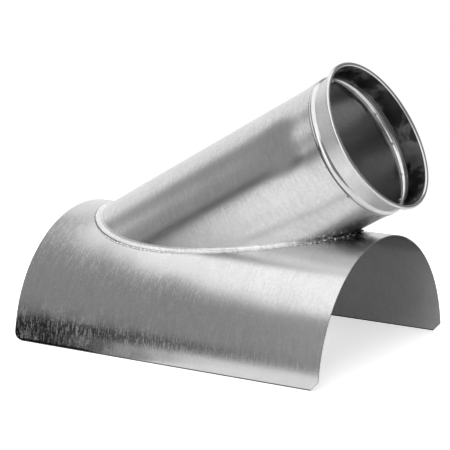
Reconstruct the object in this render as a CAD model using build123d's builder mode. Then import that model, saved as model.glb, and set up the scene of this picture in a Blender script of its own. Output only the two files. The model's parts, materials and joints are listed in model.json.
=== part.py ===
from build123d import *
import os
from math import cos, radians, sin, tan

# A saddle branch for round ducting: a rolled half-round plate, a slanting branch tube and a lipped collar

# Saddle plate, rolled to sit on the outside of the main duct
duct_r = 125.0
saddle_t = 0.9
rolled_half_angle = 82.0
leg = 12.0
corner_clip = 9.0
toe_margin = 30.5
heel_margin = 33.5

# Branch tube, with its foot turned out on the saddle
branch_r = 70.0
branch_angle = 30.0
branch_reach = 194.5
tube_t = 0.7
foot_width = 3.4
foot_bend = 1.7

# Lip collar, whose plain end slides inside the tube up to the bead
collar_t = 0.7
lip_curl = 3.6
bead_depth = 24.0
bead_width = 7.5
bead_height = 2.3
spigot = 8.0

# Seam along the foot's edge and the tacks that hold the collar
seam_leg = 1.2
seam_height = 0.6
seam_bevel = 0.4
seam_start = 100.0
tack_count = 13
tack_turn = -5.2
tack_r = 2.0
tack_crown_r = 1.0
tack_rise = 0.8
tack_setback = 1.6

# Sizes that follow from the ones above
saddle_r = duct_r + saddle_t
tube_r = branch_r + tube_t
collar_bore_r = branch_r - collar_t
lip_r = collar_bore_r + 2 * lip_curl
foot_r = tube_r + foot_width
slant = radians(branch_angle)
rolled = radians(rolled_half_angle)
foot_drop = saddle_r * cos(rolled) - leg * sin(rolled)
saddle_length = toe_margin + 2 * tube_r / sin(slant) + heel_margin
bead_end = bead_depth + bead_width / 2
tack_depth = bead_end + tack_setback

# Distances along X from the saddle's toe end
toe_to_axis = toe_margin + tube_r / sin(slant) - saddle_r / tan(slant)
axis_to_mouth = saddle_r / sin(slant) + branch_reach
mouth_x = toe_to_axis + axis_to_mouth * cos(slant)
lip_x = mouth_x - lip_curl * cos(slant) + (lip_r - lip_curl) * sin(slant) + lip_curl
overall = max(saddle_length, lip_x)

# The origin is on the floor, under the middle of the whole fitting
toe_end = -overall / 2
heel_end = toe_end + saddle_length
duct_axis_z = -foot_drop
branch_dir = Vector(cos(slant), 0, sin(slant))
branch_up = Vector(-sin(slant), 0, cos(slant))
axis_start = Vector(toe_end + toe_to_axis, 0, duct_axis_z)
mouth = axis_start + branch_dir * axis_to_mouth
branch_plane = Plane(origin=axis_start, x_dir=(0, 1, 0), z_dir=branch_dir)
section_plane = Plane(origin=mouth, x_dir=branch_up, z_dir=(0, 1, 0))
tack_plane = Plane(origin=mouth - branch_dir * tack_depth, x_dir=(0, 1, 0), z_dir=branch_dir)
branch_axis = Axis(mouth, branch_dir)
duct_plane = Plane.YZ.offset(toe_end - overall)
duct_run = 3 * overall

os.makedirs("parts", exist_ok=True)


def foot_point(side, radius):
    """Lower end of a leg in the saddle's section, on the floor."""
    run = (radius * cos(rolled) - foot_drop) / sin(rolled)
    return (side * (radius * sin(rolled) + run * cos(rolled)), 0)


def arc_end(side, radius):
    """Where the rolled arc meets a leg in the saddle's section."""
    return (side * radius * sin(rolled), duct_axis_z + radius * cos(rolled))


def from_duct_axis(point):
    return (point.Y**2 + (point.Z - duct_axis_z) ** 2) ** 0.5


def from_branch_axis(point):
    return (point - mouth).cross(branch_dir).length


def on_both(edge, duct_distance, branch_distance):
    """True for the edge where a face round the duct meets a face round the branch."""
    point = edge.position_at(0.37)
    off_duct = abs(from_duct_axis(point) - duct_distance)
    off_branch = abs(from_branch_axis(point) - branch_distance)
    return off_duct < 0.01 and off_branch < 0.01


# Saddle plate: two legs and the rolled arc, with clipped corners and the branch opening
with BuildPart() as saddle_plate:
    with BuildSketch(Plane.YZ.offset(toe_end)):
        with BuildLine():
            Line(foot_point(1, duct_r), foot_point(1, saddle_r))
            Line(foot_point(1, saddle_r), arc_end(1, saddle_r))
            ThreePointArc(arc_end(1, saddle_r), (0, duct_axis_z + saddle_r), arc_end(-1, saddle_r))
            Line(arc_end(-1, saddle_r), foot_point(-1, saddle_r))
            Line(foot_point(-1, saddle_r), foot_point(-1, duct_r))
            Line(foot_point(-1, duct_r), arc_end(-1, duct_r))
            ThreePointArc(arc_end(-1, duct_r), (0, duct_axis_z + duct_r), arc_end(1, duct_r))
            Line(arc_end(1, duct_r), foot_point(1, duct_r))
        make_face()
    extrude(amount=saddle_length)
    with BuildSketch(Plane.XZ):
        with Locations((toe_end, 0), (heel_end, 0)):
            Rectangle(corner_clip * 2**0.5, corner_clip * 2**0.5, rotation=45)
    extrude(amount=2 * saddle_r, both=True, mode=Mode.SUBTRACT)
    with BuildSketch(branch_plane):
        Circle(branch_r)
    extrude(amount=axis_to_mouth, mode=Mode.SUBTRACT)

# Foot of the branch: a narrow flange that lies on the saddle
with BuildPart() as foot_flange:
    with BuildSketch(branch_plane):
        Circle(foot_r)
        Circle(branch_r, mode=Mode.SUBTRACT)
    extrude(amount=axis_to_mouth)
    with BuildSketch(duct_plane):
        with Locations((0, duct_axis_z)):
            Circle(saddle_r + tube_t)
            Circle(saddle_r, mode=Mode.SUBTRACT)
    extrude(amount=duct_run, mode=Mode.INTERSECT)

# Branch tube: trimmed to the saddle, with the flange bent out of its foot
with BuildPart() as branch_tube:
    with BuildSketch(branch_plane):
        Circle(tube_r)
        Circle(branch_r, mode=Mode.SUBTRACT)
    extrude(amount=axis_to_mouth - bead_end)
    with BuildSketch(duct_plane):
        with Locations((0, duct_axis_z)):
            Circle(saddle_r)
    extrude(amount=duct_run, mode=Mode.SUBTRACT)
    add(foot_flange.part)
    bend_edges = [e for e in branch_tube.edges() if on_both(e, saddle_r + tube_t, tube_r)]
    fillet(bend_edges, radius=foot_bend)

# Lip collar: one sheet from the spigot through a bead with 45 degree flanks to the curled lip
crown_r = (bead_width / 2 - bead_height) / (2**0.5 - 1)
crown_centre_r = branch_r + bead_height - crown_r
outer_flank = crown_r / 2**0.5
inner_flank = (crown_r - collar_t) / 2**0.5
groove_half = bead_width / 2 - collar_t * tan(radians(22.5))
with BuildPart() as lip_collar:
    with BuildSketch(section_plane):
        with BuildLine():
            b1 = Line((branch_r, -bead_end - spigot), (branch_r, -bead_end))
            b2 = Line(b1 @ 1, (crown_centre_r + outer_flank, -bead_depth - outer_flank))
            b3 = JernArc(b2 @ 1, b2 % 1, crown_r, 90)
            b4 = Line(b3 @ 1, (branch_r, -bead_depth + bead_width / 2))
            b5 = Line(b4 @ 1, (branch_r, -lip_curl))
            b6 = JernArc(b5 @ 1, b5 % 1, lip_curl - collar_t, -180)
            f1 = Line(b6 @ 1, (lip_r, -lip_curl))
            f2 = JernArc(f1 @ 1, (0, 1), lip_curl, 180)
            f3 = Line(f2 @ 1, (collar_bore_r, -bead_depth + groove_half))
            f4 = Line(f3 @ 1, (crown_centre_r + inner_flank, -bead_depth + inner_flank))
            f5 = JernArc(f4 @ 1, f4 % 1, crown_r - collar_t, -90)
            f6 = Line(f5 @ 1, (collar_bore_r, -bead_depth - groove_half))
            f7 = Line(f6 @ 1, (collar_bore_r, -bead_end - spigot))
            Line(f7 @ 1, b1 @ 0)
        make_face()
    revolve(axis=branch_axis)

# Seam: a low bead along the foot's edge, from beyond the toe round the heel
with BuildPart() as foot_seam:
    with BuildSketch(branch_plane):
        Circle(foot_r + seam_leg)
        Circle(foot_r, mode=Mode.SUBTRACT)
    extrude(amount=axis_to_mouth)
    with BuildSketch(duct_plane):
        with Locations((0, duct_axis_z)):
            Circle(saddle_r + seam_height)
            Circle(saddle_r, mode=Mode.SUBTRACT)
    extrude(amount=duct_run, mode=Mode.INTERSECT)
    with BuildSketch(Plane.YZ.offset(toe_end)):
        Rectangle(4 * saddle_r, 4 * saddle_r)
    extrude(amount=seam_start, mode=Mode.SUBTRACT)
    crown_edges = [e for e in foot_seam.edges() if on_both(e, saddle_r + seam_height, foot_r + seam_leg)]
    chamfer(crown_edges, length=seam_bevel)

# Tacks: low cones on the inside of the spigot, just past the bead
on_base = (Align.CENTER, Align.CENTER, Align.MIN)
with BuildPart(tack_plane) as collar_tacks:
    with PolarLocations(collar_bore_r + tack_rise, tack_count, start_angle=tack_turn):
        Cone(tack_r, tack_crown_r, 2 * tack_rise, rotation=(0, -90, 0), align=on_base)
    with BuildSketch(tack_plane.offset(-2 * tack_r)):
        Circle(tube_r + 2 * tack_rise)
        Circle(collar_bore_r, mode=Mode.SUBTRACT)
    extrude(amount=4 * tack_r, mode=Mode.SUBTRACT)

saddle_plate.part.label = "saddle_plate"
export_step(saddle_plate.part, "parts/saddle_plate.step")
branch_tube.part.label = "branch_tube"
export_step(branch_tube.part, "parts/branch_tube.step")
lip_collar.part.label = "lip_collar"
export_step(lip_collar.part, "parts/lip_collar.step")
foot_seam.part.label = "foot_seam"
export_step(foot_seam.part, "parts/foot_seam.step")
collar_tacks.part.label = "collar_tacks"
export_step(collar_tacks.part, "parts/collar_tacks.step")
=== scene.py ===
import json
from math import cos, exp, pi, radians, sin, sqrt

import bmesh
import bpy
from mathutils import Matrix, Vector, noise


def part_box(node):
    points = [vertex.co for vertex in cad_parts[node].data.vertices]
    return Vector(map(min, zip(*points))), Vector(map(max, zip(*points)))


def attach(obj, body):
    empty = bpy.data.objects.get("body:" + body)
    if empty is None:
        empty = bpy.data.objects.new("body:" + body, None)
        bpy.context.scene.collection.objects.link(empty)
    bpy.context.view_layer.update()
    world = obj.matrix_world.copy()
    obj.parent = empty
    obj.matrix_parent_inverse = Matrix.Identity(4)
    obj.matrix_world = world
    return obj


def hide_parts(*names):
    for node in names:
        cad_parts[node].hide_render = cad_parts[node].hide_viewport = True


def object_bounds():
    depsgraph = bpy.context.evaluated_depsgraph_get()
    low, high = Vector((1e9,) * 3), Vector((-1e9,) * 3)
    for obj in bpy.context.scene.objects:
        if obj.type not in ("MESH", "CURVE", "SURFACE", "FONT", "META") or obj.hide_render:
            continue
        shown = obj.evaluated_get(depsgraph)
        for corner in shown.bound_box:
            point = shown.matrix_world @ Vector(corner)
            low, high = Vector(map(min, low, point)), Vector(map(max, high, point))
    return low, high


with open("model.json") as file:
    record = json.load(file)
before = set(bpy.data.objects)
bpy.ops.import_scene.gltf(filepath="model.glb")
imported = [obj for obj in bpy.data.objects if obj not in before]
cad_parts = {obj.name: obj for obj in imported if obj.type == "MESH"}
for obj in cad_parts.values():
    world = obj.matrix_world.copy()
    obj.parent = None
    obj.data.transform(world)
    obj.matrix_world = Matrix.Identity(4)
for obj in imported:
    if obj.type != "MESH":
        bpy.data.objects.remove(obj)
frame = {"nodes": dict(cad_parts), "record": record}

CAD_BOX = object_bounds()


def direction(azimuth, elevation):
    """Unit vector towards an azimuth measured from -Y towards +X, and an elevation."""
    return Vector((sin(azimuth) * cos(elevation), -cos(azimuth) * cos(elevation), sin(elevation)))


# Small offsets that keep skins apart and inside the solids' box, and the angles from which an edge is sharp
SIDE_GAP = 0.0001
SKIN = 0.00012
CREASE = radians(40)
FINE_CREASE = radians(50)

# Places and sizes of the fitting, in metres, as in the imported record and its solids
MOUNTS = {mount["name"]: mount for mount in frame["record"]["mounts"]}
DUCT_AXIS_Z = MOUNTS["duct_seat"]["pos_m"][2]
DUCT_DIR = Vector((1.0, 0.0, 0.0))
SADDLE_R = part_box("saddle_plate")[1].z - DUCT_AXIS_Z
BRANCH_DIR = Vector(MOUNTS["branch_mouth"]["axis"]).normalized()
BRANCH_SIDE = Vector((0.0, 1.0, 0.0))
BRANCH_UP = BRANCH_DIR.cross(BRANCH_SIDE)
MOUNT_DEPTH = 0.010
MOUTH = Vector(MOUNTS["branch_mouth"]["pos_m"]) + BRANCH_DIR * MOUNT_DEPTH
TUBE_R = 0.0707
SHEET_T = 0.0007
SADDLE_T = 0.0009
TOE_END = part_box("saddle_plate")[0].x
HEEL_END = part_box("saddle_plate")[1].x
HALF_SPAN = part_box("saddle_plate")[1].y - SIDE_GAP

# Saddle: its worn corners, the opening cut in it and the fineness of its mesh
TOE_ROUND = 0.0090
HEEL_CLIP = 0.0080
SADDLE_COLUMNS = 140
SADDLE_ROWS = 220
OPENING_R = 0.0700
OPENING_FROM = 0.02
OPENING_LENGTH = 0.30
OPENING_STEPS = 256
SLIVER = 0.00002

# How the rolled saddle sprang: half its developed width, and its half angle at each end
HALF_WIDTH = 0.1919
ROLL_AT_TOE = radians(79.5)
ROLL_AT_HEEL = radians(87.5)

# Tube: its end behind the mouth, the flare there and the dent before the collar
TUBE_END = 0.0260
TUBE_FLARE = 0.0012
TUBE_FLARE_FROM = 0.054
DENT_DEPTH = 0.0020
DENT_AT = 0.056
DENT_LENGTH = 0.020
DENT_TURN = radians(156.0)
DENT_SPREAD = radians(38.0)
TUBE_TURNS = 256
TUBE_SPANS = 48
TUBE_CROWDING = 1.5

# Collar: section of its sheet, the flare of its band and how it sits askew in the tube
COLLAR_R = 0.0700
COLLAR_FLARE = 0.0023
COLLAR_SET = 0.0004
COLLAR_SWING = radians(1.2)
COLLAR_TURNS = 320
BEAD_END = 0.02775
BEAD_DEPTH = 0.0240
BEAD_HALF = 0.00375
BEAD_HEIGHT = 0.0021
BEAD_FLANK = 45
BEAD_STEPS = 10
SPIGOT = 0.0080
LIP_CURL = 0.00215
LIP_START = 180
LIP_END = 375
LIP_INNER_STEPS = 18
LIP_OUTER_STEPS = 24

# Points of the collar's outline that belong to its band, outside and inside
BAND_SPANS = 7
BAND_FIRST = 14
BAND_STEPS = range(BAND_FIRST - 1, BAND_FIRST - 1 + BAND_SPANS)
INSIDE_FIRST = 63
INSIDE_STEPS = range(INSIDE_FIRST, INSIDE_FIRST + BAND_SPANS)

# Burnt marks on the tube's outside, one over each tack; one of them is stronger than the rest
TACK_COUNT = 13
TACK_TURN = radians(-5.2)
MARK_SETBACK = 0.0008
MARK_R = 0.0012
MARK_HEIGHT = 0.0004
MARK_FAINT = 0.6
BURNT_TACK = 8
MARK_RINGS = 4
MARK_STEPS = 16

# Foot of the branch: the bend from the tube to its narrow flange, and the flange's edge
TOE_TURN = pi / 2
HEEL_TURN = -pi / 2
FOOT_WIDTH = 0.0034
FOOT_NARROWING = 0.38
FOOT_STEPS = 720
FLANGE_LIFT = 0.0003
FLANGE_TOP = SHEET_T + FLANGE_LIFT
BEND_AT_SIDE = 0.0011
BEND_AT_ENDS = 0.0007
BEND_STEPS = 6
BEND_OVER = 1.15
EDGE_STEP = BEND_STEPS + 3
EDGE_WAVES = 14
EDGE_SWING = 0.0002
EDGE_ROUND = 0.0004
EDGE_SHOULDER = 0.90
EDGE_BROW = 0.80
# Past this, towards the toe, the flange's upright edge is dark: bare sheared metal and painted shadow of
# the gap beneath
BARE_AND_SHADOWED_EDGE = 0.30

# Weld along the flange's edge, rippled and heaped up at the heel; each noise is a scale per metre and a row
WELD_FROM_TOE = radians(52.0)
WELD_STEPS = 1500
WELD_SIDES = 8
WELD_HALF_WIDTH = 0.0012
WELD_MOST = 0.0019
WELD_HEIGHT = 0.0010
WELD_SHIFT = 0.0004
WELD_RAMP = 5
RAMP_WIDTH = 0.25
RAMP_HEIGHT = 0.2
WANDER = 0.0005
WANDER_NOISE = (90, 3.0)
THICKNESS = 0.80
THICKNESS_SWING = 0.85
THICKNESS_NOISE = (160, 7.0)
LEAST_WIDTH = 0.25
LEAST_HEIGHT = 0.3
RIPPLE_PITCH = 0.0044
RIPPLE_LOW = 0.12
RIPPLE_POWER = 1.5
RIPPLE_DRIFT = 0.45
RIPPLE_NOISE = (130, 5.0)
HEEL_POWER = 6
HEEL_TUCK = 0.0009
HEEL_LUMPS = 0.9
HEEL_NOISE = (420, 11.0)

# Zinc coat: scale per metre, detail and roughness of its noises, and how they add up to grain
CLOUD_NOISE = (45.0, 5.0, 0.62)
SPECK_NOISE = (420.0, 3.0, 0.6)
WAVE_NOISE = (11.0, 1.0)
LINE_FINE = 800.0
LINE_COARSE = 80.0
LINE_DETAIL = 3.0
CLOUD_SHARE = 0.25
LINE_SHARE = 0.35
SPECK_SHARE = 0.40
PATCH_RANGE = (0.38, 0.62)
LIGHT_MOTTLE = 0.7
GLOSS_RANGE = (0.36, 0.62)
DULL = 1.12
SHINY = 0.92
SPECK_RELIEF = 0.6
FINE_RELIEF = 0.001
WAVE_RELIEF = 0.0011

# Darkening in blots round the heel, the painted contact shadow along the lower edge, and the dull part
# round the heel that has no scuffs
HEEL_DARK_DETAIL = (5.0, 0.62)
HEEL_DARK_RANGE = (0.34, 0.52)
HEEL_DARK_CORE = 0.15
HEEL_DARKNESS = 0.94
HEEL_DARK_ROUGHNESS = 0.25
# Painted contact shadow along the lower edge: its heights, its darkness, and where and how much it grows
# towards the toe
CONTACT_SHADOW_BAND = (0.0016, 0.0008)
CONTACT_SHADOW_DARKNESS = 0.92
CONTACT_SHADOW_WIDENING = (-0.085, -0.105)
CONTACT_SHADOW_GROWTH = 2.6
STAIN_AND_SHADOW_TONE = 0.02
WORKED_REACH = (0.19, 0.10)

# Scuffed corner of the saddle, where its scratches and stains are strongest
WORN_HEIGHT = (0.050, 0.012)
WORN_END = 0.060
WORN_SIDE = (-0.02, -0.08)
WORN_SCUFFS = 0.75
WORN_STAIN = 0.55
SCRATCH_LINES = 0.6
SCRATCH_SPECKS = 0.4
SCRATCH_RANGE = (0.47, 0.60)
SCUFF_ROUGHNESS = 0.42
STAIN_NOISE = (34.0, 3.0, 0.6)
STAIN_RANGE = (0.56, 0.44)

# Sheared edge and weld metal: noise, tones and roughness between its lows and highs
SHEARED_NOISE = (600.0, 3.0, 0.6)
SHEARED_RANGE = (0.3, 0.7)
SHEARED_TONES = (0.10, 0.34)
SHEARED_ROUGHNESS = (0.55, 0.40)
WELD_RANGE = (0.35, 0.65)
WELD_TONES = (0.72, 0.97)
WELD_GLOSS_RANGE = (0.3, 0.7)
WELD_ROUGHNESS = (0.58, 0.32)
WELD_RELIEF = 0.0004
WELD_RELIEF_STRENGTH = 0.6
# Weld darker in blots towards the heel: its reach, noise range and tone
WELD_DARK_REACH = (0.070, 0.010)
WELD_DARK_RANGE = (0.57, 0.47)
WELD_DARK_TONE = 0.03

# The photograph's view: where the camera stands, what it looks at and its lens
VIEW_AZIMUTH = radians(32.384)
VIEW_ELEVATION = radians(11.583)
VIEW_ROLL = radians(-0.142)
VIEW_AIM = Vector((-0.0198, 0.0, 0.11265))
VIEW_DISTANCE = 1.866
LENS_MM = 150.353
SENSOR_MM = 36.0

# Room seen in the metal: dim, with a bright panel at the back left, a bright horizon and a wall at the left
PANEL_LEVEL = 1.00
PANEL_AZIMUTH = radians(-125.0)
PANEL_ELEVATION = radians(8.0)
PANEL_EDGE = (0.77, 0.91)
ROOM_LEVELS = (0.31, 0.26)
ROOM_SIDES = (-0.35, 0.45)
HORIZON_SIDE = (-0.71, -0.79)
HORIZON_TOP = (0.10, 0.0)
WALL_SIDE = (-0.84, -0.90)
WALL_TOP = (0.38, 0.30)

# Soft lamps overhead and in front, and a fill that doesn't show in the metal
OVERHEAD_LEVEL = 1.03
OVERHEAD_SIZE = (2.1, 2.5)
OVERHEAD_AT = Vector((-0.140, 0.0, 1.6))
OVERHEAD_TURN = radians(10.0)
FRONT_LEVEL = 1.25
FRONT_SIZE = (1.4, 1.85)
FRONT_DISTANCE = 1.9
FRONT_AT = direction(radians(7.0), radians(27.5)) * FRONT_DISTANCE
FILL_LEVEL = 1.30
FILL_SIZE = (2.6, 2.6)
FILL_AT = Vector((0.0, -0.6, 2.4))

# Black cards that darken parts of the reflections
FLAG_SIZE = (0.80, 0.32)
FLAG_AT = Vector((-1.040, -1.616, 0.16))
FLAG_FADE = (-0.14, 0.38)
MAT_SIZE = (1.0, 1.40)
MAT_AT = Vector((-0.687, -0.529, 0.001))
MAT_TURN = radians(-36.0)
MAT_FADE = (0.17, 0.42)
CLOTH_TONE = 0.005

# Floor
FLOOR_RADIUS = 2.2
FLOOR_STEPS = 64
FLOOR_DROP = 0.0002
FLOOR_FADE = (0.40, 0.95)
FLOOR_ALBEDO = 0.88
FLOOR_LIFT = 0.58
FLOOR_LIFT_IN_METAL = 0.03


class Nodes:
    """Short calls for building a node tree."""

    def __init__(self, tree):
        self.tree = tree
        tree.nodes.clear()

    def put(self, socket, value):
        """Links a socket's output to a socket, or sets a plain value on it."""
        if isinstance(value, bpy.types.NodeSocket):
            self.tree.links.new(value, socket)
        else:
            socket.default_value = value

    def add(self, kind, inputs=None, **settings):
        node = self.tree.nodes.new(kind)
        for name, value in settings.items():
            setattr(node, name, value)
        for name, value in (inputs or {}).items():
            self.put(node.inputs[name], value)
        return node

    def maths(self, operation, a, b=0.0, clamp=False):
        node = self.add("ShaderNodeMath", {0: a, 1: b}, operation=operation, use_clamp=clamp)
        return node.outputs[0]

    def weigh(self, *pairs):
        """Sum of values, each times its share."""
        total = None
        for value, share in pairs:
            part = self.maths("MULTIPLY", value, share)
            total = part if total is None else self.maths("ADD", total, part)
        return total

    def vector(self, operation, a, b=None):
        node = self.add("ShaderNodeVectorMath", {0: a}, operation=operation)
        if b is not None:
            self.put(node.inputs["Scale" if operation == "SCALE" else 1], b)
        return node.outputs["Value" if operation in ("DOT_PRODUCT", "LENGTH", "DISTANCE") else "Vector"]

    def ramp(self, value, start, end, low=0.0, high=1.0):
        """Smooth step of a value from low to high between start and end."""
        node = self.add(
            "ShaderNodeMapRange",
            {"Value": value, "From Min": start, "From Max": end, "To Min": low, "To Max": high},
            interpolation_type="SMOOTHSTEP",
        )
        return node.outputs["Result"]

    def noise(self, place, scale, detail=2.0, roughness=0.5):
        sockets = {"Vector": place, "Scale": scale, "Detail": detail, "Roughness": roughness}
        return self.add("ShaderNodeTexNoise", sockets).outputs["Fac"]

    def lines(self, place, across, fine, coarse, detail=2.0):
        """Noise drawn out into lines: fine along one direction and coarse along the others."""
        along = self.vector("DOT_PRODUCT", place, across)
        squeezed = self.vector("SCALE", across, along)
        stretched = self.vector("SCALE", squeezed, fine - coarse)
        drawn = self.vector("ADD", self.vector("SCALE", place, coarse), stretched)
        return self.noise(drawn, 1.0, detail)

    def mix(self, factor, low, high):
        """Colour between two colours."""
        node = self.add("ShaderNodeMix", {"Factor": factor}, data_type="RGBA")
        for name, value in (("A", low), ("B", high)):
            self.put(next(s for s in node.inputs if s.name == name and s.type == "RGBA"), value)
        return next(s for s in node.outputs if s.type == "RGBA")

    def between(self, factor, low, high):
        """Number between two numbers."""
        node = self.add("ShaderNodeMix", {"Factor": factor, "A": low, "B": high}, data_type="FLOAT")
        return node.outputs["Result"]


def grey(level):
    return (level, level, level, 1.0)


def new_material(name):
    material = bpy.data.materials.new(name)
    material.use_nodes = True
    return material, Nodes(material.node_tree)


def galvanised(name, tone, rough, across, streaks, mottle=0.07, scuffs=0.0, stains=0.0, shift=0.0,
               dark_reach=0.042, blots=45.0, wear=1.0, worked=0.0):
    """Zinc-coated sheet: soft mottling, fine rolling lines, a slightly wavy surface, darker blots round the
    heel and a painted contact shadow along the lower edge.

    The rolling lines are fine in the direction across, and streaks is their depth. Mottle, scuffs, stains
    and wear are strengths, and shift moves the stains along X. Dark_reach is how far the darkening round
    the heel reaches, and blots is the scale of its blots. Worked is the roughness added round the heel.
    """
    material, n = new_material(name)
    place = n.add("ShaderNodeTexCoord").outputs["Object"]
    apart = n.add("ShaderNodeSeparateXYZ", {"Vector": place}).outputs
    reach = n.vector("DISTANCE", place, tuple(foot_point(HEEL_TURN, TUBE_R, SADDLE_R)))

    # Mottled coat
    cloud = n.noise(place, *CLOUD_NOISE)
    speck = n.noise(place, *SPECK_NOISE)
    line = n.lines(place, tuple(across), LINE_FINE, LINE_COARSE, LINE_DETAIL)
    patch = n.weigh((cloud, CLOUD_SHARE), (line, LINE_SHARE), (speck, SPECK_SHARE))
    low = grey(tone * (1 - mottle))
    high = grey(tone * (1 + mottle * LIGHT_MOTTLE))
    clean = n.mix(n.ramp(patch, *PATCH_RANGE), low, high)

    # Darkening round the heel, scuffs, stains and the painted contact shadow along the lower edge
    # Darker in blots within a reach of the heel, and rougher there
    blot = n.noise(place, blots, *HEEL_DARK_DETAIL)
    near = n.ramp(reach, dark_reach, dark_reach * HEEL_DARK_CORE)
    heel_dark = n.maths("MULTIPLY", near, n.ramp(blot, *HEEL_DARK_RANGE), clamp=True)
    worn = n.maths("MULTIPLY", n.ramp(apart["Z"], *WORN_HEIGHT), n.ramp(apart["X"], WORN_END, TOE_END))
    worn = n.maths("MULTIPLY", worn, n.ramp(apart["Y"], *WORN_SIDE, 0.0, wear))
    by_heel = n.ramp(reach, *WORKED_REACH)
    plain = n.maths("SUBTRACT", 1.0, n.maths("MULTIPLY", by_heel, 1.0 if worked else 0.0))
    scuffed = n.weigh((worn, WORN_SCUFFS), (plain, scuffs))
    scratch = n.weigh((line, SCRATCH_LINES), (speck, SCRATCH_SPECKS))
    scuff = n.maths("MULTIPLY", n.ramp(scratch, *SCRATCH_RANGE), scuffed, clamp=True)
    stained = n.maths("ADD", n.maths("MULTIPLY", worn, WORN_STAIN), stains)
    blotch = n.noise(n.vector("ADD", place, (shift, 0.0, 0.0)), *STAIN_NOISE)
    stain = n.maths("MULTIPLY", n.ramp(blotch, *STAIN_RANGE), stained, clamp=True)
    # Painted contact shadow: the sheet is darkened close above the floor along its lower edge, higher
    # towards the toe
    thick = n.ramp(apart["X"], *CONTACT_SHADOW_WIDENING, 1.0, CONTACT_SHADOW_GROWTH)
    edge = n.ramp(n.maths("DIVIDE", apart["Z"], thick), *CONTACT_SHADOW_BAND)
    heel_darkening = n.maths("MULTIPLY", heel_dark, HEEL_DARKNESS)
    heel_dark_and_contact_shadow = n.maths("MAXIMUM", heel_darkening, n.maths("MULTIPLY", edge, CONTACT_SHADOW_DARKNESS))
    colour = n.mix(n.maths("MAXIMUM", heel_dark_and_contact_shadow, stain), clean, grey(STAIN_AND_SHADOW_TONE))

    # Gloss and relief
    gloss = n.ramp(patch, *GLOSS_RANGE, rough * DULL, rough * SHINY)
    marks = n.weigh((heel_dark, HEEL_DARK_ROUGHNESS), (scuff, SCUFF_ROUGHNESS), (by_heel, worked))
    grain = n.maths("ADD", gloss, marks)
    uneven = n.weigh((line, streaks), (speck, streaks * SPECK_RELIEF))
    fine = n.add("ShaderNodeBump", {"Height": uneven, "Strength": 1.0, "Distance": FINE_RELIEF})
    rolling = n.add(
        "ShaderNodeBump",
        {
            "Height": n.noise(place, *WAVE_NOISE),
            "Strength": 1.0,
            "Distance": WAVE_RELIEF,
            "Normal": fine.outputs["Normal"],
        },
    )
    metal = n.add(
        "ShaderNodeBsdfPrincipled",
        {"Base Color": colour, "Metallic": 1.0, "Roughness": grain, "Normal": rolling.outputs["Normal"]},
    )
    n.add("ShaderNodeOutputMaterial", {"Surface": metal.outputs["BSDF"]})
    return material


def cut_edge(name):
    """Bare sheared edge of the sheet, dull and uneven."""
    material, n = new_material(name)
    place = n.add("ShaderNodeTexCoord").outputs["Object"]
    streak = n.noise(place, *SHEARED_NOISE)
    low, high = SHEARED_TONES
    metal = n.add(
        "ShaderNodeBsdfPrincipled",
        {
            "Base Color": n.mix(n.ramp(streak, *SHEARED_RANGE), grey(low), grey(high)),
            "Metallic": 1.0,
            "Roughness": n.ramp(streak, *SHEARED_RANGE, *SHEARED_ROUGHNESS),
        },
    )
    n.add("ShaderNodeOutputMaterial", {"Surface": metal.outputs["BSDF"]})
    return material


def weld_metal(name):
    """Bright run weld, rough and darker in blots towards the heel."""
    material, n = new_material(name)
    place = n.add("ShaderNodeTexCoord").outputs["Object"]
    lump = n.noise(place, *SPECK_NOISE)
    reach = n.vector("DISTANCE", place, tuple(foot_point(HEEL_TURN, TUBE_R, SADDLE_R)))
    # Darker in blots near the heel
    near = n.ramp(reach, *WELD_DARK_REACH)
    stain = n.maths("MULTIPLY", near, n.ramp(lump, *WELD_DARK_RANGE), clamp=True)
    low, high = WELD_TONES
    bright = n.mix(n.ramp(lump, *WELD_RANGE), grey(low), grey(high))
    relief = n.add(
        "ShaderNodeBump", {"Height": lump, "Strength": WELD_RELIEF_STRENGTH, "Distance": WELD_RELIEF}
    )
    metal = n.add(
        "ShaderNodeBsdfPrincipled",
        {
            "Base Color": n.mix(stain, bright, grey(WELD_DARK_TONE)),
            "Metallic": 1.0,
            "Roughness": n.ramp(lump, *WELD_GLOSS_RANGE, *WELD_ROUGHNESS),
            "Normal": relief.outputs["Normal"],
        },
    )
    n.add("ShaderNodeOutputMaterial", {"Surface": metal.outputs["BSDF"]})
    return material


def foot_point(turn, from_branch, from_duct):
    """Point at given distances from the branch's and the duct's axes, at a turn round the branch."""
    side = from_branch * cos(turn)
    up = from_branch * sin(turn)
    level = MOUTH.z - DUCT_AXIS_Z + up * BRANCH_UP.z
    depth = (level - sqrt(from_duct**2 - side**2)) / BRANCH_DIR.z
    return MOUTH - BRANCH_DIR * depth + BRANCH_SIDE * side + BRANCH_UP * up


def branch_point(turn, from_branch, depth):
    """Point at a turn round the branch, at a distance from its axis and a depth behind the mouth."""
    around = BRANCH_SIDE * cos(turn) + BRANCH_UP * sin(turn)
    return MOUTH - BRANCH_DIR * depth + around * from_branch


def face_outwards(mesh):
    """Turns the faces of a closed skin so that they all look outwards."""
    shape = bmesh.new()
    shape.from_mesh(mesh)
    bmesh.ops.recalc_face_normals(shape, faces=shape.faces)
    shape.to_mesh(mesh)
    shape.free()


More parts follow.
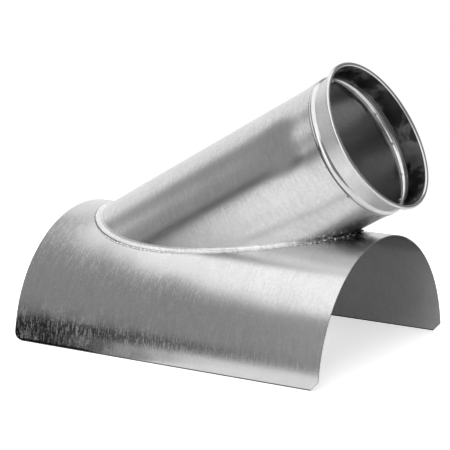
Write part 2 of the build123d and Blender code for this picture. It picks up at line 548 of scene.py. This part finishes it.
def ring_mesh(name, loops, closed, material):
    """A closed skin over loops of equal length, joined end to end or capped at both ends."""
    width = len(loops[0])
    points = [point for loop in loops for point in loop]
    faces = []
    last = len(loops) if closed else len(loops) - 1
    for i in range(last):
        j = (i + 1) % len(loops)
        for k in range(width):
            m = (k + 1) % width
            faces.append((i * width + k, i * width + m, j * width + m, j * width + k))
    if not closed:
        faces.append(tuple(range(width - 1, -1, -1)))
        faces.append(tuple((len(loops) - 1) * width + k for k in range(width)))
    mesh = bpy.data.meshes.new(name)
    mesh.from_pydata(points, [], faces)
    face_outwards(mesh)
    mesh.shade_smooth()
    mesh.materials.append(material)
    piece = bpy.data.objects.new(name, mesh)
    bpy.context.scene.collection.objects.link(piece)
    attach(piece, "root")
    return piece


def roll_angle(x):
    """Half angle of the saddle's rolled part at a place along the duct."""
    t = (x - TOE_END) / (HEEL_END - TOE_END)
    return ROLL_AT_TOE + (ROLL_AT_HEEL - ROLL_AT_TOE) * t


def saddle_point(x, along, inward):
    """Point of the saddle's sheet at a distance along its section from the crown, and below its outside."""
    rolled = min(roll_angle(x), HALF_WIDTH / SADDLE_R)
    widest = SADDLE_R * sin(rolled) + (HALF_WIDTH - SADDLE_R * rolled) * cos(rolled)
    side = min(1.0, HALF_SPAN / widest) if along >= 0 else -min(1.0, HALF_SPAN / widest)
    angle = min(abs(along) / SADDLE_R, rolled)
    straight = max(0.0, abs(along) - SADDLE_R * rolled)
    radius = SADDLE_R - inward
    out = radius * sin(angle) + straight * cos(angle)
    rise = radius * cos(angle) - straight * sin(angle)
    return Vector((x, side * out, DUCT_AXIS_Z + rise))


def saddle_row(along, inward):
    """Points of the saddle along the duct; its corners are rounded at the toe and clipped at the heel."""
    edge = HALF_WIDTH - abs(along)
    inset = max(0.0, TOE_ROUND - edge)
    start = TOE_END + TOE_ROUND - sqrt(TOE_ROUND**2 - inset**2)
    end = HEEL_END - max(0.0, HEEL_CLIP - edge)
    step = end - start
    columns = range(SADDLE_COLUMNS + 1)
    return [saddle_point(start + step * i / SADDLE_COLUMNS, along, inward) for i in columns]


def make_saddle(material, edge_material, shaded_bore_material):
    """Rolled plate with worn corners; the branch's opening is cut out of it."""
    points = []
    for inward in (0.0, SADDLE_T):
        for j in range(SADDLE_ROWS + 1):
            points += saddle_row(HALF_WIDTH * (2 * j / SADDLE_ROWS - 1), inward)
    width = SADDLE_COLUMNS + 1
    lower = width * (SADDLE_ROWS + 1)
    faces = []
    for j in range(SADDLE_ROWS):
        for i in range(SADDLE_COLUMNS):
            a = j * width + i
            faces.append((a, a + 1, a + 1 + width, a + width))
            faces.append((lower + a + width, lower + a + width + 1, lower + a + 1, lower + a))
    skins = len(faces)
    for j in range(SADDLE_ROWS):
        toe = j * width
        heel = toe + SADDLE_COLUMNS
        for a, b in ((toe + width, toe), (heel, heel + width)):
            faces.append((a, b, lower + b, lower + a))
    for i in range(SADDLE_COLUMNS):
        top = SADDLE_ROWS * width + i
        for a, b in ((i, i + 1), (top + 1, top)):
            faces.append((b, a, lower + a, lower + b))
    mesh = bpy.data.meshes.new("saddle_sheet")
    mesh.from_pydata(points, [], faces)
    face_outwards(mesh)
    mesh.materials.append(material)
    mesh.materials.append(edge_material)
    mesh.materials.append(shaded_bore_material)
    # The outer skin takes the sheet metal, the edges the sheared metal, and the underside a darker copy:
    # painted shade inside the arch
    for face in mesh.polygons:
        face.material_index = 1 if face.index >= skins else 2 * (face.index % 2)
    piece = bpy.data.objects.new("saddle_sheet", mesh)
    bpy.context.scene.collection.objects.link(piece)
    cut_opening(piece)
    piece.data.shade_smooth()
    piece.data.set_sharp_from_angle(angle=CREASE)
    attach(piece, "root")
    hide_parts("saddle_plate")


def weld_slivers(mesh):
    """Closes up the tiny faces that a cut leaves along its line."""
    shape = bmesh.new()
    shape.from_mesh(mesh)
    bmesh.ops.triangulate(shape, faces=shape.faces)
    bmesh.ops.remove_doubles(shape, verts=shape.verts, dist=SLIVER)
    bmesh.ops.dissolve_degenerate(shape, dist=SLIVER, edges=shape.edges)
    bmesh.ops.triangulate(shape, faces=shape.faces)
    by_corners = {}
    for face in shape.faces:
        by_corners.setdefault(frozenset(face.verts), []).append(face)
    folded = [face for pair in by_corners.values() if len(pair) > 1 for face in pair]
    bmesh.ops.delete(shape, geom=folded, context="FACES")
    shape.to_mesh(mesh)
    shape.free()


def cut_opening(piece):
    """Cuts the branch's round way out of a piece, along the branch's axis."""
    steps = OPENING_STEPS
    ends = []
    for depth in (OPENING_FROM, OPENING_FROM + OPENING_LENGTH):
        ends.append([branch_point(2 * pi * i / steps, OPENING_R, depth) for i in range(steps)])
    faces = [(i, (i + 1) % steps, steps + (i + 1) % steps, steps + i) for i in range(steps)]
    faces.append(tuple(range(steps - 1, -1, -1)))
    faces.append(tuple(range(steps, 2 * steps)))
    mesh = bpy.data.meshes.new("cutter")
    mesh.from_pydata(ends[0] + ends[1], [], faces)
    face_outwards(mesh)
    cutter = bpy.data.objects.new("cutter", mesh)
    bpy.context.scene.collection.objects.link(cutter)
    cut = piece.modifiers.new("opening", "BOOLEAN")
    cut.operation = "DIFFERENCE"
    cut.solver = "EXACT"
    cut.object = cutter
    depsgraph = bpy.context.evaluated_depsgraph_get()
    shaped = bpy.data.meshes.new_from_object(piece.evaluated_get(depsgraph))
    piece.modifiers.clear()
    weld_slivers(shaped)
    piece.data = shaped
    bpy.data.objects.remove(cutter)


def tube_radius(turn, depth):
    """Outside of the tube: flared at the end, with a shallow dent before the collar on one side."""
    t = min(1.0, max(0.0, (TUBE_FLARE_FROM - depth) / (TUBE_FLARE_FROM - TUBE_END)))
    along = (depth - DENT_AT) / DENT_LENGTH
    around = (turn - DENT_TURN) / DENT_SPREAD
    return TUBE_R + TUBE_FLARE * t * t - DENT_DEPTH * exp(-along * along - around * around)


def make_tube(material):
    """Branch tube from the bead down to the saddle, flared a little where the collar was driven in."""
    loops = []
    for i in range(TUBE_TURNS):
        turn = 2 * pi * i / TUBE_TURNS
        foot = foot_point(turn, TUBE_R, SADDLE_R + SKIN)
        run = (MOUTH - foot).dot(BRANCH_DIR) - TUBE_END
        depths = [TUBE_END + run * (k / TUBE_SPANS) ** TUBE_CROWDING for k in range(TUBE_SPANS + 1)]
        outer = [branch_point(turn, tube_radius(turn, d), d) for d in depths]
        inner = [branch_point(turn, tube_radius(turn, d) - SHEET_T, d) for d in reversed(depths)]
        loops.append(outer + inner)
    piece = ring_mesh("branch_sheet", loops, True, material)
    piece.data.set_sharp_from_angle(angle=CREASE)
    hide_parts("branch_tube")


def arc(centre, radius, start, end, steps):
    """Points of an arc between two angles in degrees."""
    angles = [radians(start + (end - start) * k / steps) for k in range(steps + 1)]
    return [(centre[0] + radius * cos(a), centre[1] + radius * sin(a)) for a in angles]


def collar_outline():
    """Section of the collar's sheet as (distance from the axis, depth behind the mouth), closed."""
    crown = (BEAD_HALF - BEAD_HEIGHT) / (sqrt(2) - 1)
    bead = (COLLAR_R + BEAD_HEIGHT - crown, BEAD_DEPTH)
    lip = (COLLAR_R + COLLAR_FLARE - SHEET_T + LIP_CURL, LIP_CURL)
    bore_r = COLLAR_R - SHEET_T
    start = BEAD_DEPTH - BEAD_HALF
    out = [(COLLAR_R, BEAD_END + SPIGOT), (COLLAR_R, BEAD_END)]
    out += arc(bead, crown, BEAD_FLANK, -BEAD_FLANK, BEAD_STEPS)
    out += [(COLLAR_R, start)]
    for k in range(1, BAND_SPANS + 1):
        t = k / BAND_SPANS
        out.append((COLLAR_R + COLLAR_FLARE * t, start + (LIP_CURL - start) * t))
    out += arc(lip, LIP_CURL - SHEET_T, LIP_START, LIP_END, LIP_INNER_STEPS)[1:]
    band = out[BAND_FIRST:BAND_FIRST + BAND_SPANS - 1]
    back = arc(lip, LIP_CURL, LIP_END, LIP_START, LIP_OUTER_STEPS)
    back += [(r - SHEET_T, d) for r, d in reversed(band)]
    back += [(bore_r, start)]
    back += arc(bead, crown - SHEET_T, -BEAD_FLANK, BEAD_FLANK, BEAD_STEPS)
    back += [(bore_r, BEAD_END), (bore_r, BEAD_END + SPIGOT)]
    return out + back


def make_collar(material, band_material, inside_material):
    """Lip, flared band, bead and spigot; the band is duller outside and stained inside."""
    outline = collar_outline()
    loops = []
    pivot = MOUTH - BRANCH_DIR * BEAD_END
    askew = Matrix.Rotation(COLLAR_SWING, 3, BRANCH_UP)
    for i in range(COLLAR_TURNS):
        turn = 2 * pi * i / COLLAR_TURNS
        loop = [branch_point(turn, r, d + COLLAR_SET) for r, d in outline]
        loops.append([pivot + askew @ (point - pivot) for point in loop])
    piece = ring_mesh("collar_ring", loops, True, material)
    piece.data.materials.append(band_material)
    piece.data.materials.append(inside_material)
    for face in piece.data.polygons:
        step = face.index % len(outline)
        face.material_index = 1 if step in BAND_STEPS else 2 if step in INSIDE_STEPS else 0
    piece.data.set_sharp_from_angle(angle=FINE_CREASE)
    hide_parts("lip_collar")


def make_tack_marks(material):
    """Low scorched lumps at the tube's end, where the tacks melted through."""
    depth = TUBE_END + MARK_SETBACK
    points = []
    faces = []
    for i in range(TACK_COUNT):
        turn = TACK_TURN + 2 * pi * i / TACK_COUNT
        outward = BRANCH_SIDE * cos(turn) + BRANCH_UP * sin(turn)
        around = BRANCH_UP * cos(turn) - BRANCH_SIDE * sin(turn)
        centre = branch_point(turn, tube_radius(turn, depth) - SKIN, depth)
        first = len(points)
        size = 1.0 if i == BURNT_TACK else MARK_FAINT
        for k in range(MARK_RINGS):
            lift = pi / 2 * k / MARK_RINGS
            for j in range(MARK_STEPS):
                a = 2 * pi * j / MARK_STEPS
                flat = (BRANCH_DIR * cos(a) + around * sin(a)) * MARK_R * size * cos(lift)
                points.append(centre + flat + outward * MARK_HEIGHT * size * sin(lift))
        points.append(centre + outward * MARK_HEIGHT * size)
        faces.append(tuple(range(first, first + MARK_STEPS)))
        for k in range(MARK_RINGS):
            ring = first + k * MARK_STEPS
            for j in range(MARK_STEPS):
                a = ring + j
                b = ring + (j + 1) % MARK_STEPS
                if k < MARK_RINGS - 1:
                    faces.append((a, b, b + MARK_STEPS, a + MARK_STEPS))
                else:
                    faces.append((a, b, len(points) - 1))
    mesh = bpy.data.meshes.new("tack_marks")
    mesh.from_pydata(points, [], faces)
    face_outwards(mesh)
    mesh.shade_smooth()
    mesh.set_sharp_from_angle(angle=FINE_CREASE)
    mesh.materials.append(material)
    piece = bpy.data.objects.new("tack_marks", mesh)
    bpy.context.scene.collection.objects.link(piece)
    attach(piece, "root")


def foot_edge(turn):
    """Distance of the flange's edge from the branch's axis; the slant widens it again at toe and heel."""
    return TUBE_R + FOOT_WIDTH * (1 - FOOT_NARROWING * sin(turn) ** 2)


def bend_height(turn):
    """How far up the tube the foot's bend starts: widest at the sides, tight at the toe and the heel."""
    return BEND_AT_SIDE + (BEND_AT_ENDS - BEND_AT_SIDE) * sin(turn) ** 2


def make_foot_bend(material, edge_material, far_material):
    """The rounded bend and the narrow flange on the saddle; its near half is lighter as a painted
    highlight, and its upright edge is bare near the toe and darkened there as painted shadow of the gap.
    """
    top = SADDLE_R + FLANGE_TOP
    inner = TUBE_R - SHEET_T / 2
    loops = []
    for i in range(FOOT_STEPS):
        turn = 2 * pi * i / FOOT_STEPS
        bend = bend_height(turn)
        swing = noise.noise(Vector((EDGE_WAVES * cos(turn), EDGE_WAVES * sin(turn), 0.0)))
        edge = foot_edge(turn) + EDGE_SWING * swing
        outline = []
        for k in range(BEND_STEPS + 1):
            a = pi / 2 * k / BEND_STEPS
            outline.append((TUBE_R + SKIN + bend * (1 - cos(a)), top + bend * (BEND_OVER - sin(a))))
        outline += [
            (edge - EDGE_ROUND, top),
            (edge, SADDLE_R + FLANGE_TOP * EDGE_SHOULDER),
            (edge + SKIN, SADDLE_R + FLANGE_TOP * EDGE_BROW),
            (edge + SKIN, SADDLE_R + SKIN),
            (inner, SADDLE_R + SKIN),
            (inner, top + bend * BEND_OVER),
        ]
        loops.append([foot_point(turn, r, rho) for r, rho in outline])
    piece = ring_mesh("foot_bend", loops, True, material)
    piece.data.materials.append(edge_material)
    piece.data.materials.append(far_material)
    width = len(loops[0])
    for face in piece.data.polygons:
        turn = 2 * pi * (face.index // width) / FOOT_STEPS
        # Towards the toe the upright edge takes the dark sheared-edge metal, bare edge and also painted
        # shadow of the gap under the lifted flange
        if face.index % width == EDGE_STEP and sin(turn) > BARE_AND_SHADOWED_EDGE:
            face.material_index = 1
        # The far half takes the tube's metal; the near half keeps the lighter foot metal, a painted
        # highlight of the bend
        elif cos(turn) > 0:
            face.material_index = 2
    piece.data.set_sharp_from_angle(angle=FINE_CREASE)


def noise_along(run, scale, row):
    """Noise that changes along a run."""
    return noise.noise(Vector((run * scale, row, 0.0)))


def make_foot_weld(material):
    """Low rippled weld on the flange's edge, from beyond the toe round the heel to the other side."""
    start = TOE_TURN - WELD_FROM_TOE
    sweep = 2 * pi - 2 * WELD_FROM_TOE
    loops = []
    run = 0.0
    before = None
    for i in range(WELD_STEPS + 1):
        turn = start - sweep * i / WELD_STEPS
        here = foot_point(turn, foot_edge(turn), SADDLE_R)
        run += (here - before).length if before else 0.0
        before = here
        thick = THICKNESS + THICKNESS_SWING * noise_along(run, *THICKNESS_NOISE)
        beat = run / RIPPLE_PITCH + RIPPLE_DRIFT * noise_along(run, *RIPPLE_NOISE)
        ripple = RIPPLE_LOW + (1 - RIPPLE_LOW) * (0.5 + 0.5 * cos(2 * pi * beat)) ** RIPPLE_POWER
        heaped = max(0.0, -sin(turn)) ** HEEL_POWER
        lumps = 1.0 + heaped * HEEL_LUMPS * (1.0 + noise_along(run, *HEEL_NOISE))
        ends = min(1.0, WELD_RAMP * i / WELD_STEPS, WELD_RAMP * (WELD_STEPS - i) / WELD_STEPS)
        half = WELD_HALF_WIDTH * max(LEAST_WIDTH, thick) * (RAMP_WIDTH + (1 - RAMP_WIDTH) * ends) * lumps
        half = min(WELD_MOST, half)
        high = WELD_HEIGHT * max(LEAST_HEIGHT, thick) * (RAMP_HEIGHT + (1 - RAMP_HEIGHT) * ends) * lumps
        high *= ripple
        wander = WANDER * noise_along(run, *WANDER_NOISE)
        middle = foot_edge(turn) + WELD_SHIFT + wander - HEEL_TUCK * heaped
        outline = []
        for k in range(WELD_SIDES + 1):
            a = pi * k / WELD_SIDES
            outline.append((middle - half * cos(a), SADDLE_R + SKIN + high * sin(a)))
        loops.append([foot_point(turn, r, rho) for r, rho in outline])
    piece = ring_mesh("foot_weld", loops, False, material)
    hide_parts("foot_seam")


def make_camera():
    """Camera at the photograph's view."""
    back = direction(VIEW_AZIMUTH, VIEW_ELEVATION)
    right = Vector((cos(VIEW_AZIMUTH), sin(VIEW_AZIMUTH), 0.0))
    up = back.cross(right)
    turned_right = right * cos(VIEW_ROLL) + up * sin(VIEW_ROLL)
    turned_up = up * cos(VIEW_ROLL) - right * sin(VIEW_ROLL)
    data = bpy.data.cameras.new("camera")
    data.lens = LENS_MM
    data.sensor_width = SENSOR_MM
    camera = bpy.data.objects.new("camera", data)
    turn = Matrix((turned_right, turned_up, back)).transposed().to_4x4()
    camera.matrix_world = Matrix.Translation(VIEW_AIM + back * VIEW_DISTANCE) @ turn
    bpy.context.scene.collection.objects.link(camera)
    bpy.context.scene.camera = camera


def make_world():
    """White for the camera; for reflections and light, a dim room with a bright panel at the back left."""
    world = bpy.data.worlds.new("studio")
    world.use_nodes = True
    bpy.context.scene.world = world
    n = Nodes(world.node_tree)
    way = n.add("ShaderNodeTexCoord").outputs["Generated"]
    apart = n.add("ShaderNodeSeparateXYZ", {"Vector": way}).outputs
    facing = n.vector("DOT_PRODUCT", way, tuple(direction(PANEL_AZIMUTH, PANEL_ELEVATION)))
    room = n.ramp(apart["X"], *ROOM_SIDES, *ROOM_LEVELS)
    level = n.between(n.ramp(facing, *PANEL_EDGE), room, PANEL_LEVEL)
    horizon = n.maths("MULTIPLY", n.ramp(apart["X"], *HORIZON_SIDE), n.ramp(apart["Z"], *HORIZON_TOP))
    wall = n.maths("MULTIPLY", n.ramp(apart["X"], *WALL_SIDE), n.ramp(apart["Z"], *WALL_TOP))
    level = n.between(n.maths("MAXIMUM", horizon, wall), level, PANEL_LEVEL)
    path = n.add("ShaderNodeLightPath").outputs
    seen = n.maths("MAXIMUM", path["Is Camera Ray"], path["Is Transmission Ray"])
    strength = n.between(seen, level, 1.0)
    shine = n.add("ShaderNodeBackground", {"Color": grey(1.0), "Strength": strength})
    n.add("ShaderNodeOutputWorld", {"Surface": shine.outputs["Background"]})


def make_softbox(name, level, size, at, turn=None, in_reflections=True):
    """Soft lamp given by its level in a mirror; it faces the object, or straight down if it has a turn."""
    data = bpy.data.lights.new(name, "AREA")
    data.shape = "RECTANGLE"
    data.size, data.size_y = size
    data.energy = level * pi * data.size * data.size_y
    lamp = bpy.data.objects.new(name, data)
    lamp.location = at
    if turn is None:
        lamp.rotation_euler = (VIEW_AIM - at).to_track_quat("-Z", "Y").to_euler()
    else:
        lamp.rotation_euler.z = turn
    lamp.visible_camera = False
    lamp.visible_glossy = in_reflections
    bpy.context.scene.collection.objects.link(lamp)


def make_flag(name, size, at, rotation, cloth):
    """Black card, out of the camera's sight, that only darkens reflections."""
    x, y = size[0] / 2, size[1] / 2
    mesh = bpy.data.meshes.new(name)
    mesh.from_pydata([(-x, -y, 0), (x, -y, 0), (x, y, 0), (-x, y, 0)], [], [(0, 1, 2, 3)])
    mesh.materials.append(cloth)
    flag = bpy.data.objects.new(name, mesh)
    flag.location = at
    flag.rotation_euler = rotation
    flag.visible_camera = False
    flag.visible_shadow = False
    flag.visible_diffuse = False
    bpy.context.scene.collection.objects.link(flag)


def flag_cloth(name, fade):
    """Black cloth that thins out to nothing towards one side of its card."""
    black, n = new_material(name)
    matt = n.add("ShaderNodeBsdfDiffuse", {"Color": grey(CLOTH_TONE)}).outputs["BSDF"]
    clear = n.add("ShaderNodeBsdfTransparent").outputs["BSDF"]
    place = n.add("ShaderNodeTexCoord").outputs["Object"]
    thin = n.ramp(n.add("ShaderNodeSeparateXYZ", {"Vector": place}).outputs["X"], *fade)
    shown = n.add("ShaderNodeMixShader", {0: thin, 1: matt, 2: clear}).outputs["Shader"]
    n.add("ShaderNodeOutputMaterial", {"Surface": shown})
    return black


def make_floor():
    """Pale round floor that fades into the white; lifted to white for the camera, it keeps the shadow."""
    turns = [2 * pi * i / FLOOR_STEPS for i in range(FLOOR_STEPS)]
    points = [(FLOOR_RADIUS * cos(turn), FLOOR_RADIUS * sin(turn), 0.0) for turn in turns]
    mesh = bpy.data.meshes.new("floor")
    mesh.from_pydata(points, [], [tuple(range(FLOOR_STEPS))])
    floor = bpy.data.objects.new("floor", mesh)
    floor.location.z = CAD_BOX[0].z - FLOOR_DROP
    bpy.context.scene.collection.objects.link(floor)
    paint, n = new_material("floor_paint")
    matt = n.add("ShaderNodeBsdfDiffuse", {"Color": grey(FLOOR_ALBEDO)}).outputs["BSDF"]
    path = n.add("ShaderNodeLightPath").outputs
    lift = n.weigh((path["Is Camera Ray"], FLOOR_LIFT), (path["Is Glossy Ray"], FLOOR_LIFT_IN_METAL))
    glow = n.add("ShaderNodeEmission", {"Strength": lift}).outputs["Emission"]
    both = n.add("ShaderNodeAddShader", {0: matt, 1: glow}).outputs["Shader"]
    away = n.vector("LENGTH", n.add("ShaderNodeTexCoord").outputs["Object"])
    fade = n.maths("MULTIPLY", n.ramp(away, *FLOOR_FADE), path["Is Camera Ray"])
    clear = n.add("ShaderNodeBsdfTransparent").outputs["BSDF"]
    shown = n.add("ShaderNodeMixShader", {0: fade, 1: both, 2: clear}).outputs["Shader"]
    n.add("ShaderNodeOutputMaterial", {"Surface": shown})
    mesh.materials.append(paint)


def dress(node, material):
    """Gives a CAD piece another material."""
    for slot in frame["nodes"][node].material_slots:
        slot.material = material


# Metals of the pieces
saddle_metal = galvanised(
    "saddle_sheet", tone=0.66, rough=0.17, across=DUCT_DIR, streaks=0.007,
    mottle=0.06, scuffs=0.20, dark_reach=0.022, worked=0.06,
)
# Underside of the saddle: the saddle's metal a little darker, as painted shade inside the arch
shaded_bore_metal = galvanised(
    "saddle_bore_shaded", tone=0.62, rough=0.19, across=DUCT_DIR, streaks=0.004, dark_reach=0.022, wear=0.0
)
tube_metal = galvanised(
    "tube_sheet", tone=0.66, rough=0.235, across=BRANCH_DIR, streaks=0.003, mottle=0.095, blots=110.0
)
collar_metal = galvanised("collar_sheet", tone=0.66, rough=0.17, across=BRANCH_DIR, streaks=0.002)
band_metal = galvanised("collar_band", tone=0.72, rough=0.40, across=BRANCH_DIR, streaks=0.004)
inside_metal = galvanised(
    "collar_inside", tone=0.50, rough=0.20, across=BRANCH_DIR, streaks=0.002, stains=0.80, shift=0.148
)
# The foot's light tone, seen on its near half, is a painted highlight over its own grain
foot_highlight_metal = galvanised(
    "foot_sheet_painted_highlight", tone=0.92, rough=0.38, across=BRANCH_DIR, streaks=0.040,
    mottle=0.14, dark_reach=0.085, blots=260.0,
)
edge_metal = cut_edge("cut_edge")
weld = weld_metal("weld_metal")

# The fitting
dress("collar_tacks", weld)
make_saddle(saddle_metal, edge_metal, shaded_bore_metal)
make_tube(tube_metal)
make_collar(collar_metal, band_metal, inside_metal)
make_tack_marks(edge_metal)
make_foot_bend(foot_highlight_metal, edge_metal, tube_metal)
make_foot_weld(weld)

# The studio
make_camera()
make_world()
make_softbox("overhead", OVERHEAD_LEVEL, OVERHEAD_SIZE, OVERHEAD_AT, OVERHEAD_TURN)
make_softbox("front", FRONT_LEVEL, FRONT_SIZE, FRONT_AT)
make_softbox("fill", FILL_LEVEL, FILL_SIZE, FILL_AT, in_reflections=False)
flag_turn = (FLAG_AT - VIEW_AIM).to_track_quat("Z", "Y").to_euler()
make_flag("flag", FLAG_SIZE, FLAG_AT, flag_turn, flag_cloth("flag_cloth", FLAG_FADE))
make_flag("mat", MAT_SIZE, MAT_AT, (0.0, 0.0, MAT_TURN), flag_cloth("mat_cloth", MAT_FADE))
make_floor()
bpy.context.scene.view_settings.view_transform = "Standard"
